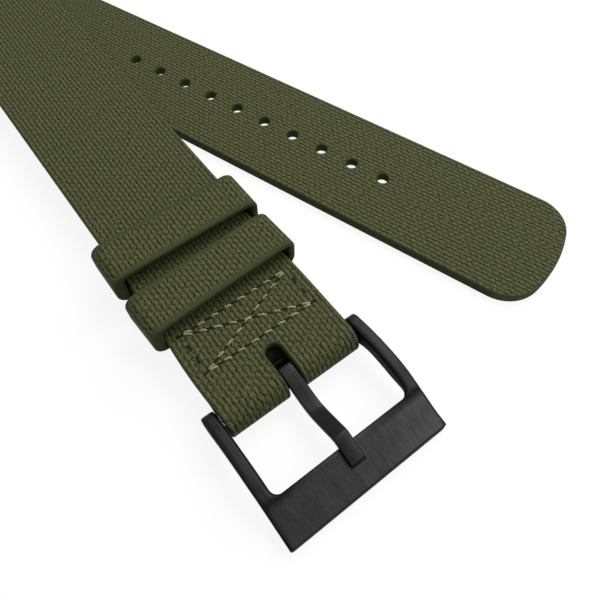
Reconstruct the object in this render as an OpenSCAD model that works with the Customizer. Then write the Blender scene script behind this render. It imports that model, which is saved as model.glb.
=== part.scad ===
// Rubber watch strap in one piece, folded over flat, with its pin buckle and two keepers.
// X runs along the buckle half towards the buckle, Z is up, and the strap lies on Z = 0.
// The origin is the first tongue hole, on the face that the strap lies on.

/* [Band] */
// Width of the rubber band
band_w = 22; // [18:0.5:24]
// Thickness of the rubber band
band_t = 1.8; // [1.5:0.1:2.1]
// Length of the holed half, from where the two centre lines cross to the tip
tail_l = 139.7; // [130:0.1:160]
// Length of the buckle half, from where the centre lines cross to the fold at the bar
arm_l = 124.1; // [115:0.1:150]
// Angle between the two halves, seen from above
arms_angle = 19.5; // [19:0.5:24]
// Radius of the two corners of the tip
tip_corner_r = 6.5; // [5:0.5:8]
// Radius of the curve across the end of the tip
tip_end_r = 25; // [20:1:60]

/* [Tongue holes] */
// Number of tongue holes
hole_n = 10; // [6:1:11]
// Diameter of a tongue hole
hole_d = 2.1; // [1.6:0.1:3]
// Distance from one hole to the next
hole_pitch = 6.4; // [5:0.1:7]
// Distance from the tip to the nearest hole
tip_to_hole = 32.3; // [20:0.1:40]

/* [Turn] */
// Radius of the turn between the two halves, at the middle of the rubber
turn_r = 3; // [2.6:0.1:3.4]
// Angle that the turn bends past flat before it comes back, in degrees
turn_over = 20; // [16:1:24]

/* [Loop round the bar] */
// Play between the spring bar and the rubber loop, on the radius
loop_gap = 0.15; // [0.1:0.05:0.3]
// Length of the folded-back flap, measured behind the bar
flap_l = 13.3; // [12.8:0.1:16]
// Play between the tongue and each side of its slot
slot_gap = 0.16; // [0.12:0.02:0.6]
// Length of the slot behind the bar
slot_l = 4.1; // [4:0.1:5]
// Length of the slot behind the bar in the flap, where only the tongue's eye needs room
slot_low_l = 2.5; // [2.4:0.1:3]

/* [Stitching] */
// Diameter of the thread
thread_d = 0.45; // [0.3:0.05:0.6]
// Length of one stitch
stitch_l = 2.1; // [1.6:0.1:2.6]
// Length of the stitched box along the band
box_l = 6.7; // [5.5:0.1:7]
// Distance from the stitched box to each edge of the band
box_edge_gap = 1.8; // [1.4:0.1:4]
// Distance from the stitched box to the end of the flap
box_end_gap = 0.7; // [0.6:0.1:1.2]
// Distance from the stitched box to the ramp of the flap
box_ramp_gap = 1.3; // [0.4:0.1:1.5]

/* [Keepers] */
// Length of a keeper along the band
keeper_l = 7.5; // [6:0.1:8]
// Wall of a keeper
keeper_wall = 1.15; // [0.9:0.05:1.5]
// Play between a keeper and each edge of the band
keeper_side_gap = 0.35; // [0.3:0.05:0.6]
// How much thicker a keeper's left side is, where its ends are joined
keeper_joint = 0.8; // [0.4:0.1:1.2]
// Gap between the underside of the band and the keeper below it
keeper_low_gap = 0.15; // [0.1:0.05:0.3]
// Room in a keeper above two thicknesses of band
keeper_play = 0.4; // [0.3:0.1:1]
// Outer corner radius of a keeper
keeper_corner_r = 2; // [1.5:0.1:2.2]
// Inner corner radius of a keeper
keeper_in_corner_r = 0.35; // [0.2:0.05:0.5]
// Distance from the end of the flap to the front keeper
keeper_stop_gap = 0.1; // [0.1:0.1:3]
// Gap between the two keepers
keeper_gap = 2.75; // [2:0.25:5]
// Angle at which the front keeper sits askew on the band, in degrees
keeper_skew = 2.6; // [0:0.2:3]

/* [Buckle frame] */
// Play between the band and each side arm
frame_side_gap = 0.45; // [0.4:0.05:1]
// Thickness of a side arm, across the strap
side_t = 2; // [1.8:0.1:2.8]
// Diameter of a side arm's round end at the bar
side_h = 4; // [3.6:0.1:4.4]
// Height of that round end's middle over the bar
side_lift = 0.2; // [0:0.05:0.4]
// Height of a side arm where it is arched
arch_t = 2.75; // [2.4:0.05:3.2]
// Height of the arch's top over the bar
arch_z = 2.85; // [2.4:0.05:3.2]
// Distance from the bar to the arch's top
arch_x = 6; // [5:0.5:7]
// Radius of the arch
arch_r = 28; // [24:1:36]
// Length of the frame from the bar to its outer edge
frame_l = 19.2; // [18:0.1:24]
// Width of the front plate, along the strap
plate_l = 6.15; // [5:0.05:8]
// Thickness of the front plate
plate_t = 1.9; // [1.6:0.1:2.2]
// Angle at which the plate falls towards its outer edge, in degrees
plate_slope = 22; // [16:1:26]
// Radius of the opening's inner corners
frame_corner_r = 2; // [1.5:0.1:3]
// Cut across the two outer corners of the plate
plate_corner = 0.5; // [0.3:0.1:2]
// Depth of the seat that takes the tip of the tongue
seat_depth = 0.3; // [0.2:0.05:0.5]

/* [Tongue] */
// Width of the tongue
tongue_w = 2.3; // [1.8:0.1:2.4]
// Thickness of the tongue's blade
tongue_t = 1.2; // [1:0.05:1.3]
// Wall of the tongue's eye round the bar
eye_wall = 1.15; // [0.9:0.05:1.3]
// Length of the tongue's tip that lies over the plate
tongue_over = 2.8; // [1.6:0.1:3.4]
// Distance from the bar to the lowest place of the blade
dip_x = 6.3; // [5.5:0.1:7]
// Height of the blade's middle over the bar at its lowest place
dip_z = 0.2; // [0:0.05:0.8]
// Radius of the two corners of the tip
tongue_corner_r = 0.6; // [0.3:0.05:0.8]
// Play of the tongue's tip in its seat, on each side
seat_play = 0.15; // [0.1:0.05:0.3]

/* [Spring bar] */
// Outer diameter of the spring bar's tube
bar_d = 2; // [1.8:0.1:2.2]
// Wall of the tube
bar_wall = 0.25; // [0.2:0.01:0.3]
// Diameter of the pins' tips
pin_d = 1; // [0.8:0.05:1.1]
// Length of a pin's piston inside the tube
piston_l = 2; // [1.5:0.1:3]
// Depth to which a pin's tip sits in the side arm
pin_depth = 1.1; // [0.8:0.1:1.3]
// Wall at each crimped end of the tube
crimp_t = 0.35; // [0.25:0.05:0.6]
// Gap between the tube and each side arm
bar_end_gap = 0.3; // [0.2:0.05:0.4]
// Diameter of the spring's wire
wire_d = 0.24; // [0.2:0.02:0.3]
// Number of turns of the spring
spring_turns = 14; // [10:1:16]

/* [Hidden] */
$fn = 64;

rubber_green = [0.28, 0.31, 0.17];
thread_green = [0.52, 0.53, 0.36];
black_steel = [0.10, 0.10, 0.11];
bare_steel = [0.62, 0.62, 0.64];

// Running clearance of the pins, the pistons and the eye, on the radius
run_gap = 0.05;
// Gap between pieces that rest on each other
seat_gap = 0.06;
// Overlap between a cut and the face that it starts from
cut = 1;
// Overlap of two pieces that are made as one
overlap = 0.3;
// Length on which the turn runs on inside each half, and how much slimmer it is there
lead = 1;
lead_inset = 0.02;

// Loop round the bar and the stitched flap behind it
loop_r = bar_d / 2 + loop_gap;
loop_out_r = loop_r + band_t;
bar_z = loop_out_r;
arm_z = 2 * loop_out_r - band_t;
bar_u = arm_l - loop_out_r;
slot_w = tongue_w + 2 * slot_gap;
box_w = band_w - 2 * box_edge_gap;
box_start = flap_l - box_end_gap - box_l;
ramp_l = box_start - box_ramp_gap;

// Places seen from above: the crossing of the centre lines and the bar
hole_1_u = tail_l - tip_to_hole - (hole_n - 1) * hole_pitch;
cross_x = -hole_1_u * cos(arms_angle);
cross_y = -hole_1_u * sin(arms_angle);
bar_x = cross_x + bar_u;
arm_y = cross_y;

// The turn is a bend whose straight lines lie square to the halves' bisector
half_angle = arms_angle / 2;
back_r = (turn_r * (1 + cos(turn_over)) - arm_z) / (1 - cos(turn_over));
turn_arc = turn_r * (PI + turn_over * PI / 180) + back_r * turn_over * PI / 180;
turn_run = (turn_r + back_r) * sin(turn_over);
turn_p1 = (turn_arc - turn_run) / 2;
turn_p2 = turn_p1 + turn_run;
turn_steps = 24;
back_steps = 8;

// Keepers
keeper_in_w = band_w + 2 * keeper_side_gap;
keeper_in_h = 2 * band_t + keeper_play;
keeper_w = keeper_in_w + 2 * keeper_wall + keeper_joint;
keeper_h = keeper_in_h + 2 * keeper_wall;
keeper_z = arm_z - keeper_low_gap - keeper_wall;
keeper_back = flap_l + keeper_stop_gap + keeper_l / 2 * cos(keeper_skew)
    + (keeper_w + keeper_joint) / 2 * sin(keeper_skew);

// Buckle frame, with the bar at the origin
frame_gap_w = band_w + 2 * frame_side_gap;
frame_w = frame_gap_w + 2 * side_t;
plate_start = frame_l - plate_l;
arm_end_x = 5;
shoulder_x = 9;
shoulder_soft = 0.3;

// Spring bar
bar_bore = bar_d - 2 * bar_wall;
bar_l = frame_gap_w - 2 * bar_end_gap;
piston_d = bar_bore - 2 * run_gap;
pin_bore = pin_d + 2 * run_gap;
pin_hole_depth = pin_depth + 0.2;
pin_out = frame_gap_w / 2 + pin_depth;
piston_out = bar_l / 2 - crimp_t - seat_gap;
spring_l = 2 * (piston_out - piston_l - seat_gap);
spring_r = (bar_bore - wire_d) / 2 - run_gap;

// Tongue
eye_r = bar_d / 2 + run_gap;
eye_out_r = eye_r + eye_wall;
tongue_l = plate_start + tongue_over;
climb_slope = 0.45;
dip_soft = 1.4;
bend_soft = 0.2;

// A smooth step from 0 to 1
function ease(k) = k * k * (3 - 2 * k);
function mix(a, b, k) = a + (b - a) * k;

// The lower of two heights, with a soft passage where they meet
function lower(a, b, soft) = (a + b - sqrt(pow(a - b, 2) + soft * soft)) / 2;

// Corners of a band half's end on the turn, for a point at v across the half
function tail_start(v) = (turn_p1 + v * sin(half_angle)) / cos(half_angle);
function arm_start(v) = (turn_p2 - v * sin(half_angle)) / cos(half_angle);

// Places the children on the buckle half, with the bar at the origin
module at_bar() {
    translate([bar_x, arm_y, 0]) children();
}

// Turns a drawing in x and z into a solid that is w wide across the strap
module across(w) {
    rotate([90, 0, 0]) linear_extrude(w, center = true) children();
}

// Rounded rectangle with its middle at the origin
module round_rect(w, h, r) {
    square([w - 2 * r, h], center = true);
    square([w, h - 2 * r], center = true);
    for (sx = [-1, 1], sy = [-1, 1])
        translate([sx * (w / 2 - r), sy * (h / 2 - r)]) circle(r);
}

// Outline of the holed half, from the turn to the rounded tip
module tail_outline() {
    end_x = tail_l - tip_end_r;
    corner_y = band_w / 2 - tip_corner_r;
    corner_x = end_x + sqrt(pow(tip_end_r - tip_corner_r, 2) - corner_y * corner_y);
    polygon([[tail_start(-band_w / 2), -band_w / 2], [corner_x, -band_w / 2],
             [corner_x, band_w / 2], [tail_start(band_w / 2), band_w / 2]]);
    for (side = [-1, 1])
        translate([corner_x, side * corner_y]) circle(tip_corner_r);
    reach = 2 * tip_end_r / (corner_x - end_x);
    intersection() {
        translate([end_x, 0]) circle(tip_end_r, $fn = 128);
        polygon([[end_x, 0], [mix(end_x, corner_x, reach), -corner_y * reach],
                 [mix(end_x, corner_x, reach), corner_y * reach]]);
    }
}

// Holed half, lying flat
module tail() {
    translate([cross_x, cross_y, 0]) rotate([0, 0, arms_angle]) difference() {
        linear_extrude(band_t) tail_outline();
        for (i = [0 : hole_n - 1])
            translate([hole_1_u + i * hole_pitch, 0, -cut]) cylinder(h = band_t + 2 * cut, d = hole_d);
    }
}

// Side view of the buckle half: arm, loop round the bar, ramp and flap
module arm_side_view() {
    translate([arm_start(-band_w / 2) - band_w - bar_u, arm_z])
        square([bar_u - arm_start(-band_w / 2) + band_w, band_t]);
    difference() {
        translate([0, bar_z]) circle(loop_out_r);
        translate([0, bar_z]) circle(loop_r);
        translate([-2 * loop_out_r, 0]) square([2 * loop_out_r, 2 * loop_out_r]);
    }
    ramp_n = 12;
    rise = arm_z - band_t;
    polygon(concat(
        [[overlap, band_t - overlap], [overlap, overlap]],
        [for (i = [0 : ramp_n]) [-ramp_l * i / ramp_n, rise * ease(i / ramp_n)]],
        [[-flap_l, rise], [-flap_l, arm_z], [-ramp_l - overlap, arm_z], [-ramp_l - overlap, arm_z + overlap],
         [-ramp_l, arm_z + overlap]],
        [for (i = [ramp_n : -1 : 0]) [-ramp_l * i / ramp_n, band_t + rise * ease(i / ramp_n)]]));
    translate([-flap_l, arm_z - overlap]) square([flap_l - ramp_l - overlap, 2 * overlap]);
}

// Buckle half with the slot for the tongue, cut off where the turn begins
module arm() {
    difference() {
        at_bar() across(band_w) arm_side_view();
        translate([cross_x, cross_y, arm_z - cut]) rotate([0, 0, half_angle])
            translate([turn_p2 - 4 * band_w, -2 * band_w, 0]) cube([4 * band_w, 4 * band_w, band_t + 2 * cut]);
        at_bar() translate([0, 0, arm_z - lead_inset]) linear_extrude(band_t + cut) {
            translate([slot_w / 2 - slot_l, -slot_w / 2]) square([slot_l, slot_w]);
            translate([slot_w / 2 - slot_l, 0]) circle(slot_w / 2);
        }
        at_bar() translate([-slot_low_l, -slot_w / 2, -cut])
            cube([slot_low_l + 2 * loop_out_r, slot_w, arm_z + band_t + 2 * cut]);
    }
}

// One station of the turn: run along the bisector, height, angle of the outward normal, arc length
function turn_main(k) = let (a = k * (180 + turn_over))
    [turn_p1 - turn_r * sin(a), band_t / 2 + turn_r * (1 - cos(a)), a + 180, turn_r * a * PI / 180];
function turn_back(k) = let (a = turn_over * (1 - k), e = turn_main(1))
    [e[0] + back_r * (sin(turn_over) - sin(a)), e[1] + back_r * (cos(turn_over) - cos(a)), a,
     e[3] + back_r * (turn_over - a) * PI / 180];
turn_stations = concat(
    [[turn_p1 + lead, band_t / 2, 180, -lead]],
    [for (i = [0 : turn_steps]) turn_main(i / turn_steps)],
    [for (i = [1 : back_steps]) turn_back(i / back_steps)],
    [[turn_p2 + lead, arm_z + band_t / 2, 0, turn_arc + lead]]);

// Four corners of the band at one station, outer face first
function turn_corners(st) = let (
    y = (turn_p1 - st[3]) * tan(half_angle),
    h = (band_w / 2 - lead_inset) / cos(half_angle),
    nx = sin(st[2]) * (band_t / 2 - lead_inset),
    nz = cos(st[2]) * (band_t / 2 - lead_inset))
    [[st[0] + nx, y - h, st[1] + nz], [st[0] + nx, y + h, st[1] + nz],
     [st[0] - nx, y + h, st[1] - nz], [st[0] - nx, y - h, st[1] - nz]];

// Solid through a list of rings that all have n corners
module ring_solid(rings, n) {
    m = len(rings);
    sides = [for (i = [0 : m - 2], j = [0 : n - 1]) let (a = i * n + j, b = i * n + (j + 1) % n)
        each [[a, b, b + n], [a, b + n, a + n]]];
    ends = concat([for (j = [1 : n - 2]) [0, j + 1, j]],
                  [for (j = [1 : n - 2]) [(m - 1) * n, (m - 1) * n + j, (m - 1) * n + j + 1]]);
    polyhedron([for (ring = rings) each ring], concat(sides, ends));
}

// Turn between the two halves
module turn() {
    translate([cross_x, cross_y, 0]) rotate([0, 0, half_angle])
        ring_solid([for (st = turn_stations) turn_corners(st)], 4);
}

// Rubber band in one piece
module band() {
    color(rubber_green) union() {
        tail();
        turn();
        arm();
    }
}

// Rubber keeper, a closed loop round the band
module keeper() {
    translate([-keeper_l / 2, 0, keeper_z + keeper_h / 2]) rotate([90, 0, 90]) linear_extrude(keeper_l)
        difference() {
            translate([-keeper_joint / 2, 0]) round_rect(keeper_w, keeper_h, keeper_corner_r);
            round_rect(keeper_in_w, keeper_in_h, keeper_in_corner_r);
        }
}

// Keeper next to the stitching, a little askew
module front_keeper() {
    color(rubber_green) at_bar() translate([-keeper_back, 0, 0]) rotate([0, 0, keeper_skew]) keeper();
}

// Keeper behind it
module rear_keeper() {
    color(rubber_green) at_bar() translate([-keeper_back - keeper_l - keeper_gap, 0, 0]) keeper();
}

// Ends of the six seams of the stitched box: its four sides and its two diagonals
function seam_ends() = let (x0 = -box_start - box_l, x1 = -box_start, y = box_w / 2)
    [[[x0, -y], [x0, y]], [[x0, y], [x1, y]], [[x1, y], [x1, -y]],
     [[x1, -y], [x0, -y]], [[x0, -y], [x1, y]], [[x1, -y], [x0, y]]];

// Thread of one seam at height z, seen from the side, with legs down to the joint at depth
module seam_side_view(run, n, depth) {
    step = run / n;
    half = thread_d / 2;
    polygon(concat(
        [for (i = [0 : n - 1]) each [[i * step, -half / 2], [i * step + half, half], [(i + 1) * step - half, half]]],
        [[run, -half / 2], [run, -half]],
        [for (i = [n - 1 : -1 : 1]) each [[i * step + half, -half], [i * step + half, -depth],
                                          [i * step - half, -depth], [i * step - half, -half]]],
        [[0, -half]]));
}

// The six seams of the stitched box, on the face that looks up, and the legs at its corners
module stitched_box(depth) {
    for (ends = seam_ends()) {
        run = norm(ends[1] - ends[0]);
        across_seam = atan2(ends[1][1] - ends[0][1], ends[1][0] - ends[0][0]);
        translate([ends[0][0], ends[0][1], 0]) rotate([0, 0, across_seam])
            across(thread_d) seam_side_view(run, round(run / stitch_l), depth);
    }
    for (x = [-box_start - box_l, -box_start], y = [-box_w / 2, box_w / 2])
        translate([x, y, -depth]) cylinder(h = depth, d = 1.5 * thread_d, $fn = 24);
}

// Thread on the face of the band, sewn down to the joint between arm and flap
module needle_thread() {
    color(thread_green) at_bar() translate([0, 0, arm_z + band_t]) stitched_box(band_t - seat_gap);
}

// Thread on the underside of the flap, sewn up to the same joint
module bobbin_thread() {
    color(thread_green) at_bar() translate([0, 0, arm_z - band_t]) mirror([0, 0, 1])
        stitched_box(band_t - seat_gap);
}

// Height of the plate's face over the bar at x, a straight fall to its outer edge
function plate_z(x) = plate_t - bar_z + (frame_l - x) * tan(plate_slope);

// Height of the frame's upper face: the arch of the side arms, running softly into the plate
function frame_top(x) = lower(arch_z - pow(x - arch_x, 2) / (2 * arch_r), plate_z(x), shoulder_soft);

// Height of its underside, under the arch and then under the plate
function frame_bottom(x) = mix(
    frame_top(x) - mix(side_h, arch_t, ease(min(max(x, 0), arm_end_x) / arm_end_x)), plate_z(x) - plate_t,
    ease(min(max(x - shoulder_x, 0) / (plate_start - shoulder_x), 1)));

// Buckle frame seen from above, open towards the strap
module frame_plan() {
    y = frame_w / 2;
    c = plate_corner;
    difference() {
        polygon([[-side_h, -y], [frame_l - c, -y], [frame_l, c - y], [frame_l, y - c], [frame_l - c, y], [-side_h, y]]);
        frame_opening();
    }
}

// Opening between the side arms and the plate
module frame_opening() {
    r = frame_corner_r;
    translate([-frame_l, -frame_gap_w / 2]) square([frame_l + plate_start - r, frame_gap_w]);
    translate([-frame_l, r - frame_gap_w / 2]) square([frame_l + plate_start, frame_gap_w - 2 * r]);
    for (side = [-1, 1])
        translate([plate_start - r, side * (frame_gap_w / 2 - r)]) circle(r);
}

// Buckle frame seen from the side: round end at the bar, arched arm and falling plate
module frame_side_view() {
    n = 32;
    translate([0, side_lift]) circle(side_h / 2);
    polygon(concat(
        [for (i = [0 : n]) [frame_l * i / n, frame_bottom(frame_l * i / n)]],
        [for (i = [n : -1 : 0]) [frame_l * i / n, frame_top(frame_l * i / n)]]));
}

// Steel frame of the buckle, lying with the edge of its plate on the ground
module buckle_frame() {
    color(black_steel) at_bar() translate([0, 0, bar_z]) difference() {
        intersection() {
            translate([0, 0, -side_h]) linear_extrude(2 * side_h) frame_plan();
            across(2 * frame_w) frame_side_view();
        }
        for (side = [-1, 1])
            translate([0, side * (frame_gap_w / 2 - cut), 0]) rotate([-90 * side, 0, 0])
                cylinder(h = pin_hole_depth + cut, d = pin_bore);
        across(tongue_w + 2 * seat_play)
            polygon([[plate_start - cut, seat_z(plate_start - cut)], [tongue_l + seat_play, seat_z(tongue_l + seat_play)],
                     [tongue_l + seat_play, side_h], [plate_start - cut, side_h]]);
    }
}

// Height of the seat's floor over the bar at x, under the tip of the tongue
function seat_z(x) = plate_z(x) - seat_depth;

// Height of the middle of the tongue's blade over the bar at x: it dips, climbs and bends onto the plate
function blade_z(x) = let (
    start_z = eye_out_r - tongue_t / 2 - seat_gap,
    climb_z = dip_z + climb_slope * (sqrt(pow(x - dip_x, 2) + pow(dip_soft, 2)) - dip_soft))
    x < dip_x ? mix(start_z, dip_z, ease(x / dip_x)) :
    lower(climb_z, seat_z(x) + seat_gap + tongue_t / 2, bend_soft);

// Blade of the tongue seen from the side, from inside the eye to the tip
module blade_side_view() {
    n = 32;
    xs = [for (i = [0 : n]) tongue_l * i / n];
    polygon(concat(
        [for (x = xs) [x, blade_z(x) + tongue_t / 2]],
        [for (i = [n : -1 : 0]) [xs[i], blade_z(xs[i]) - tongue_t / 2]]));
}

// Blade of the tongue seen from above, wider than the blade except at the rounded tip
module blade_plan() {
    r = tongue_corner_r;
    translate([0, -tongue_w]) square([tongue_l - r, 2 * tongue_w]);
    translate([0, r - tongue_w / 2]) square([tongue_l + cut, tongue_w - 2 * r]);
    for (side = [-1, 1])
        translate([tongue_l - r, side * (tongue_w / 2 - r)]) circle(r);
}

// Tongue on the bar, with its tip in the seat of the plate
module tongue() {
    color(black_steel) at_bar() translate([0, 0, bar_z]) difference() {
        union() {
            rotate([90, 0, 0]) cylinder(h = tongue_w, r = eye_out_r, center = true);
            intersection() {
                across(tongue_w) blade_side_view();
                translate([0, 0, -side_h]) linear_extrude(2 * side_h + eye_out_r) blade_plan();
            }
        }
        rotate([90, 0, 0]) cylinder(h = tongue_w + 2 * cut, r = eye_r, center = true);
    }
}

// Places the children on the bar's axis, with Z along it
module on_bar_axis() {
    at_bar() translate([0, 0, bar_z]) rotate([-90, 0, 0]) children();
}

// Tube of the spring bar, crimped in at both ends
module bar_tube() {
    color(bare_steel) on_bar_axis() difference() {
        cylinder(h = bar_l, d = bar_d, center = true);
        cylinder(h = bar_l - 2 * crimp_t, d = bar_bore, center = true);
        cylinder(h = bar_l + 2 * cut, d = pin_bore, center = true);
    }
}

// Pin of the spring bar: a piston in the tube and a tip in the side arm
module pin() {
    translate([0, 0, piston_out - piston_l]) cylinder(h = piston_l, d = piston_d);
    translate([0, 0, piston_out - piston_l]) cylinder(h = pin_out - piston_out + piston_l, d = pin_d);
}

// Pin at the right, on the side of the holed half
module right_pin() {
    color(bare_steel) on_bar_axis() pin();
}

// Pin at the left
module left_pin() {
    color(bare_steel) on_bar_axis() rotate([180, 0, 0]) pin();
}

// Spring inside the tube, one unbroken wire
module bar_spring() {
    rings_per_turn = 8;
    wire_sides = 6;
    n = spring_turns * rings_per_turn;
    rise = (spring_l - wire_d) / n;
    lean = atan2(rise * rings_per_turn, 2 * PI * spring_r);
    color(bare_steel) on_bar_axis() translate([0, 0, (wire_d - spring_l) / 2])
        ring_solid([for (i = [0 : n]) let (a = 360 * i / rings_per_turn)
            [for (j = [0 : wire_sides - 1]) let (
                b = 360 * j / wire_sides,
                out = spring_r + wire_d / 2 * cos(b),
                up = wire_d / 2 * sin(b))
                [out * cos(a) + up * sin(lean) * sin(a), out * sin(a) - up * sin(lean) * cos(a),
                 i * rise + up * cos(lean)]]], wire_sides);
}

band();
front_keeper();
rear_keeper();
needle_thread();
bobbin_thread();
buckle_frame();
tongue();
bar_tube();
bar_spring();
left_pin();
right_pin();
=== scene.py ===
"""A one-piece rubber watch strap with a pin buckle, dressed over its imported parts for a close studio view."""

import logging
import math
from dataclasses import dataclass, field
from enum import Enum

import bmesh
import bpy
from bmesh.types import BMesh
from bpy.types import ID, Material, Mesh, NodeSocket, NodeTree, Object, World
from mathutils import Matrix, Vector


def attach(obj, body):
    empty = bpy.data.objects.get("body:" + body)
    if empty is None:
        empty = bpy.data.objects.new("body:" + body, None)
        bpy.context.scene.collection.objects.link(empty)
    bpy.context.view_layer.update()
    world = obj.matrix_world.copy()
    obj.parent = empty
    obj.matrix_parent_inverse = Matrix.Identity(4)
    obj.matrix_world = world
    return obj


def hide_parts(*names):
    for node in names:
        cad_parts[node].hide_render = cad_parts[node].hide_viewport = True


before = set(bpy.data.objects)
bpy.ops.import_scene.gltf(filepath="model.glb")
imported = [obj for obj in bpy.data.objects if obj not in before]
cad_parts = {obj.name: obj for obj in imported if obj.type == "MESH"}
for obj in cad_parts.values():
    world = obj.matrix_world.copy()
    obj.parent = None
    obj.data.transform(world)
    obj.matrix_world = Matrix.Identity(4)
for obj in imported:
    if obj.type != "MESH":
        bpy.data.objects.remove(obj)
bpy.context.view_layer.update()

LOG = logging.getLogger("watch_strap")
MM = 0.001
GRAIN_UV = "grain_uv"
GRAIN_MASK = "grain"
# Mask of where dark shade is painted into the colour of the rubber and the steel; on the steel it also dulls the
# finish.
SHADE_MASK = "painted_shade"
STEEL_CREASE = 35.0
THREAD_CREASE = 80.0
Colour = tuple[float, float, float, float]
Outline = list[tuple[float, float]]
Triple = tuple[float, float, float]


class Face(Enum):
    """Which face of the buckle half a stitched box lies on."""

    TOP = 1
    UNDER = -1


class Body(Enum):
    """The moving bodies that pieces ride on."""

    STRAP = "strap"
    FRONT_KEEPER = "front_keeper"
    REAR_KEEPER = "rear_keeper"
    BUCKLE = "buckle"
    TONGUE = "tongue"


# Nodes


class Wire:
    """A node's output that takes part in Python expressions."""

    def __init__(self, tree: NodeTree, socket: NodeSocket) -> None:
        """Keeps the tree and the output socket.

        Args:
            tree: the node tree that the socket is in.
            socket: the output that this wire starts from.
        """
        self.tree = tree
        self.socket = socket

    def maths(self, operation: str, *others: "Wire | float") -> "Wire":
        """Adds one Math node.

        Args:
            operation: the node's operation.
            others: its inputs after this wire.

        Returns:
            The node's result.
        """
        node = self.tree.nodes.new("ShaderNodeMath")
        node.operation = operation
        for slot, term in zip(node.inputs, (self, *others)):
            if isinstance(term, Wire):
                self.tree.links.new(term.socket, slot)
            else:
                slot.default_value = term
        return Wire(self.tree, node.outputs[0])

    def __add__(self, other: "Wire | float") -> "Wire":
        """Sum."""
        return self.maths("ADD", other)

    __radd__ = __add__

    def __sub__(self, other: "Wire | float") -> "Wire":
        """Difference."""
        return self.maths("SUBTRACT", other)

    def __rsub__(self, other: "Wire | float") -> "Wire":
        """Difference with the wire on the right."""
        return self * -1.0 + other

    def __mul__(self, other: "Wire | float") -> "Wire":
        """Product."""
        return self.maths("MULTIPLY", other)

    __rmul__ = __mul__

    def __truediv__(self, other: "Wire | float") -> "Wire":
        """Quotient."""
        return self.maths("DIVIDE", other)

    def __rtruediv__(self, other: "Wire | float") -> "Wire":
        """Quotient with the wire below."""
        return self.maths("POWER", -1.0) * other

    def cosine(self) -> "Wire":
        """Cosine of a phase in radians."""
        return self.maths("COSINE")

    def sine(self) -> "Wire":
        """Sine of a phase in radians."""
        return self.maths("SINE")

    def smooth(self, low: float, high: float) -> "Wire":
        """Smooth step from 0 at low to 1 at high."""
        node = self.tree.nodes.new("ShaderNodeMapRange")
        node.interpolation_type = "SMOOTHSTEP"
        self.tree.links.new(self.socket, node.inputs["Value"])
        node.inputs["From Min"].default_value = low
        node.inputs["From Max"].default_value = high
        return Wire(self.tree, node.outputs["Result"])


class Bench:
    """A node tree while its nodes are being laid."""

    def __init__(self, tree: NodeTree) -> None:
        """Starts with an empty tree.

        Args:
            tree: the tree.
        """
        self.tree = tree
        self.tree.nodes.clear()

    def add(self, kind: str, settings: dict | None = None, sockets: dict | None = None,
            out: int | str = 0) -> Wire:
        """Adds any node.

        Args:
            kind: the node's type.
            settings: attributes to set before the sockets.
            sockets: values or wires by socket name or index.
            out: the output to return.

        Returns:
            The chosen output.
        """
        node = self.tree.nodes.new(kind)
        for key, value in (settings or {}).items():
            setattr(node, key, value)
        for key, value in (sockets or {}).items():
            if isinstance(value, Wire):
                self.tree.links.new(value.socket, node.inputs[key])
            else:
                node.inputs[key].default_value = value
        return Wire(self.tree, node.outputs[out] if node.outputs else None)

    def part(self, where: Wire, axis: str) -> Wire:
        """One part of a vector."""
        return self.add("ShaderNodeSeparateXYZ", {}, {0: where}, axis)

    def vector(self, *parts: Wire | float) -> Wire:
        """Vector of up to three parts."""
        return self.add("ShaderNodeCombineXYZ", {}, dict(enumerate(parts)))


class Recipe(Bench):
    """One material or world while its nodes are being laid."""

    def __init__(self, owner: Material | World) -> None:
        """Gives the owner an empty tree.

        Args:
            owner: the new material or world.
        """
        owner.use_nodes = True
        super().__init__(owner.node_tree)
        self.owner = owner

    def spot(self) -> Wire:
        """Place on the piece, in metres."""
        return self.add("ShaderNodeTexCoord", out="Object")

    def plane(self) -> Wire:
        """Place on the material as it lay before it was formed."""
        return self.add("ShaderNodeUVMap", {"uv_map": GRAIN_UV})

    def mask(self, name: str) -> Wire:
        """A number stored on the mesh."""
        return self.add("ShaderNodeAttribute", {"attribute_name": name}, {}, "Fac")

    def noise(self, where: Wire, scale: float, detail: float = 2.0) -> Wire:
        """Noise from -0.5 to 0.5."""
        return self.add("ShaderNodeTexNoise", {}, {"Vector": where, "Scale": scale, "Detail": detail}, "Fac") - 0.5

    def stretch(self, where: Wire, scale: Triple, turn: float = 0.0) -> Wire:
        """Coordinates turned about Z and stretched along each axis."""
        return self.add("ShaderNodeMapping", {}, {"Vector": where, "Scale": scale, "Rotation": (0, 0, turn)})

    def blend(self, factor: Wire | float, low: Wire | Colour, high: Wire | Colour) -> Wire:
        """Mixes two colours."""
        return self.add("ShaderNodeMix", {"data_type": "RGBA"}, {0: factor, 6: low, 7: high}, 2)

    def bump(self, height: Wire, depth: float) -> Wire:
        """Normal of a relief whose heights run from 0 to depth metres."""
        return self.add("ShaderNodeBump", {}, {"Height": height, "Distance": depth, "Strength": 1.0})

    def surface(self, sockets: dict) -> Material:
        """Ends the material in one Principled BSDF.

        Args:
            sockets: values or wires of the shader's inputs.

        Returns:
            The finished material.
        """
        shader = self.add("ShaderNodeBsdfPrincipled", {}, sockets)
        self.add("ShaderNodeOutputMaterial", {}, {"Surface": shader})
        return self.owner


def shade(red: float, green: float, blue: float) -> Colour:
    """Linear colour from screen values of 0 to 255."""
    def lin(value: float) -> float:
        """Linear value of one channel."""
        share = value / 255
        return share / 12.92 if share <= 0.04045 else ((share + 0.055) / 1.055) ** 2.4
    return (lin(red), lin(green), lin(blue), 1.0)


def tinted(colour: Colour, share: float) -> Colour:
    """Darker or lighter form of a colour, as opaque as before."""
    return (*(channel * share for channel in colour[:3]), colour[3])


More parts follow.
